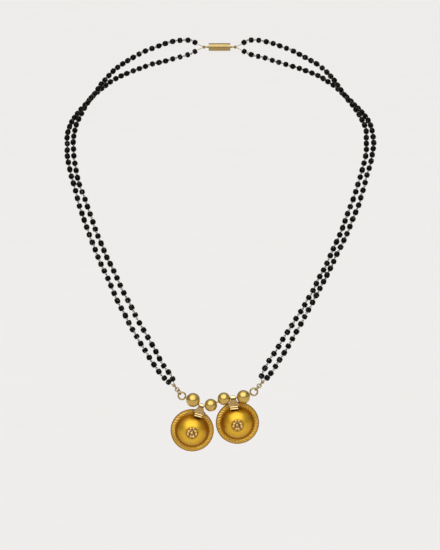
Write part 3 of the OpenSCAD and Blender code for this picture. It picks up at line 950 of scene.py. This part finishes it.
class MANGALSUTRA_OT_bowls(bpy.types.Operator):
    """Make the two bowls with their rosettes and bails"""
    bl_idname = "mangalsutra.bowls"
    bl_label = "Bowls"

    def execute(self, context):
        bowls = context.scene.mangalsutra_bowls
        satin = satin_gold(bowls)
        # Grains, ribs and bands, burnished by wear to a low roughness, and coloured pale: painted
        # highlights on the darker leaf
        bright = polished_gold(
            "gold_grain_bright", bowls.pale, smear="#EAC888", rough=(0.12, 0.26))
        # Facets cut with a graver: each one glints or goes dark as a whole
        faceted = polished_gold(
            "gold_rosette_cut", "#EEC67C", smear="#7C5628", rough=(0.12, 0.26))
        # Cuts milled in the rim, polished, in a paler colour: thin lines with painted glints
        milled = polished_gold("gold_rim_cut", "#E0CA92", smear="#BE9446", rough=(0.16, 0.3))
        # Dull brown: painted shade round the button and a painted dark reflection on the rim's edge
        painted_shade = polished_gold("gold_tarnished", "#7A5524", smear="#43300F", rough=(0.3, 0.5))
        # Ground of the leaf and the ribs' block, darker than the grains that stand on it: painted
        # shade between the grains and the ribs
        recessed = polished_gold(
            "gold_leaf_recessed", "#A07C3C", smear="#5E4620", rough=(0.28, 0.42))
        for side in BOWLS:
            build_bowl(side, bowls, satin, milled, painted_shade)
            build_rosette(side, faceted)
            build_bail(side, bright, recessed)
        return {"FINISHED"}


class MANGALSUTRA_OT_strands(bpy.types.Operator):
    """Thread the four strings of black beads on their wire eyes"""
    bl_idname = "mangalsutra.strands"
    bl_label = "Bead strings"

    def execute(self, context):
        beads = context.scene.mangalsutra_beads
        glass = black_glass(beads)
        # Fine drawn wire, coloured darker and greyer than the thick wire
        gold = polished_gold(
            "gold_wire_drawn_fine", "#7F755A", smear="#564E3B", rough=(0.16, 0.3))
        for name in STRANDS:
            string_beads(name, beads, glass, gold)
        return {"FINISHED"}


class MANGALSUTRA_OT_metal(bpy.types.Operator):
    """Finish the balls, the wire, the links and the clasp"""
    bl_idname = "mangalsutra.metal"
    bl_label = "Balls, wire and links"

    def execute(self, context):
        metal = context.scene.mangalsutra_metal
        # Thin balls burnished to a soft mirror, with a rounded highlight on each
        polished = polished_gold(
            "gold_ball_burnished", metal.gold, smear="#B8964E", rough=(0.18, 0.34))
        # Drawn wire, bent and left bright
        drawn = polished_gold("gold_wire_drawn", metal.wire, smear="#9C8450", rough=(0.12, 0.26))
        replaced = {*STRANDS, *("vati_" + side for side in BOWLS)}
        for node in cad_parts:
            if node not in replaced:
                dress(node, polished if node.startswith("ball_") else drawn)
        return {"FINISHED"}


class MANGALSUTRA_OT_stage(bpy.types.Operator):
    """Set up the floor, the soft lights and the camera"""
    bl_idname = "mangalsutra.stage"
    bl_label = "Stage"

    def execute(self, context):
        stage = context.scene.mangalsutra_stage
        paper = matte_paper(stage.backdrop)
        build_floor(paper)
        build_key(stage)
        build_room(stage)
        build_camera()
        context.scene.view_settings.view_transform = "Standard"
        return {"FINISHED"}


def build_floor(paper):
    """A wide pale floor under the necklace."""
    half, low = 8.0, -0.3
    bm = bmesh.new()
    bm.faces.new([bm.verts.new((x * half, y * half, low))
                  for x, y in ((-1, -1), (1, -1), (1, 1), (-1, 1))])
    mesh = bpy.data.meshes.new("floor")
    bm.to_mesh(mesh)
    bm.free()
    mesh.materials.append(paper)
    floor = bpy.data.objects.new("floor", mesh)
    bpy.context.scene.collection.objects.link(floor)


def build_key(stage):
    """A broad key light, high in front and slightly to the left."""
    lamp = bpy.data.lights.new("key", "SUN")
    lamp.angle = math.radians(stage.key_width)
    lamp.energy = stage.key
    light = bpy.data.objects.new("key", lamp)
    light.rotation_mode = "QUATERNION"
    light.rotation_quaternion = Vector(KEY_DIRECTION).to_track_quat("-Z", "Y")
    bpy.context.scene.collection.objects.link(light)


def build_room(stage):
    """A pale room, bright overhead and dim at eye level, as a studio reflects in metal."""
    world = bpy.data.worlds.new("studio")
    world.use_nodes = True
    tree = world.node_tree
    tree.nodes.clear()
    at = add(tree, "ShaderNodeTexCoord")
    axes = add(tree, "ShaderNodeSeparateXYZ", {"Vector": at.outputs["Generated"]})
    height = add(
        tree, "ShaderNodeMapRange", {"Value": axes.outputs["Z"], "From Min": -1.0})
    dim = add(tree, "ShaderNodeValToRGB", {"Fac": height.outputs["Result"]})
    set_ramp(dim, [(0.0, 0.5), (0.58, 0.5), (0.7, 0.62), (0.85, 0.9), (1.0, 1.2)])
    # Dark gap in front, where the photographer stands
    facing = add(
        tree, "ShaderNodeVectorMath", {0: at.outputs["Generated"], 1: GAP_DIRECTION},
        operation="DOT_PRODUCT")
    gap = add(
        tree, "ShaderNodeMapRange",
        {"Value": facing.outputs["Value"], "From Min": 0.95, "From Max": 0.98,
         "To Min": 1.0, "To Max": 0.03}, interpolation_type="SMOOTHSTEP")
    # Dimmer behind the necklace than in front
    behind = add(
        tree, "ShaderNodeMapRange",
        {"Value": axes.outputs["Y"], "From Min": 0.7, "From Max": 0.97, "To Min": 1.0,
         "To Max": 0.35})
    shade = add(
        tree, "ShaderNodeMath", {0: gap.outputs["Result"], 1: behind.outputs["Result"]},
        operation="MULTIPLY")
    room = add(
        tree, "ShaderNodeMix",
        {"Factor": 1.0, "A": dim.outputs["Color"], "B": shade.outputs[0]},
        data_type="RGBA", blend_type="MULTIPLY")
    path = add(tree, "ShaderNodeLightPath")
    seen = add(
        tree, "ShaderNodeMix",
        {"Factor": path.outputs["Is Camera Ray"], "A": room.outputs["Result"],
         "B": linear(stage.backdrop)}, data_type="RGBA")
    glow = add(
        tree, "ShaderNodeBackground",
        {"Color": seen.outputs["Result"], "Strength": stage.light})
    add(tree, "ShaderNodeOutputWorld", {"Surface": glow.outputs["Background"]})
    bpy.context.scene.world = world


def build_camera():
    """A long lens in front, ten degrees above the pendant."""
    elevation = math.radians(ELEVATION)
    look = Vector((0, math.cos(elevation), -math.sin(elevation)))
    rise = Vector((0, math.sin(elevation), math.cos(elevation)))
    across, down = PENDANT_PIXEL
    target = PENDANT + (down - IMAGE_H / 2) * PIXEL * rise + (IMAGE_W / 2 - across) * PIXEL * ACROSS
    lens = bpy.data.cameras.new("camera")
    lens.sensor_width = SENSOR
    lens.lens = SENSOR * DISTANCE / PIXEL / IMAGE_H
    lens.clip_start, lens.clip_end = 0.05, 10
    camera = bpy.data.objects.new("camera", lens)
    camera.location = target - DISTANCE * look
    camera.rotation_mode = "QUATERNION"
    camera.rotation_quaternion = look.to_track_quat("-Z", "Y")
    bpy.context.scene.collection.objects.link(camera)
    bpy.context.scene.camera = camera


class MANGALSUTRA_PT_panel(bpy.types.Panel):
    """Sizes and colours of the necklace, and a button for each group of pieces"""
    bl_label = "Mangalsutra"
    bl_idname = "MANGALSUTRA_PT_panel"
    bl_space_type = "VIEW_3D"
    bl_region_type = "UI"
    bl_category = "Mangalsutra"

    def draw(self, context):
        for group in GROUPS:
            for name in getattr(context.scene, group).bl_rna.properties.keys():
                if name not in ("rna_type", "name"):
                    self.layout.prop(getattr(context.scene, group), name)
        for operator in OPERATORS:
            self.layout.operator(operator.bl_idname)


GROUPS = {
    "mangalsutra_beads": MangalsutraBeads,
    "mangalsutra_bowls": MangalsutraBowls,
    "mangalsutra_metal": MangalsutraMetal,
    "mangalsutra_stage": MangalsutraStage,
}
OPERATORS = (
    MANGALSUTRA_OT_metal, MANGALSUTRA_OT_bowls, MANGALSUTRA_OT_strands, MANGALSUTRA_OT_stage)


def register():
    for cls in (*GROUPS.values(), *OPERATORS, MANGALSUTRA_PT_panel):
        bpy.utils.register_class(cls)
    for name, group in GROUPS.items():
        setattr(bpy.types.Scene, name, PointerProperty(type=group))


def unregister():
    for name in GROUPS:
        delattr(bpy.types.Scene, name)
    for cls in reversed((*GROUPS.values(), *OPERATORS, MANGALSUTRA_PT_panel)):
        bpy.utils.unregister_class(cls)


def main():
    register()
    bpy.ops.mangalsutra.metal()
    bpy.ops.mangalsutra.bowls()
    bpy.ops.mangalsutra.strands()
    bpy.ops.mangalsutra.stage()


if __name__ == "__main__":
    main()
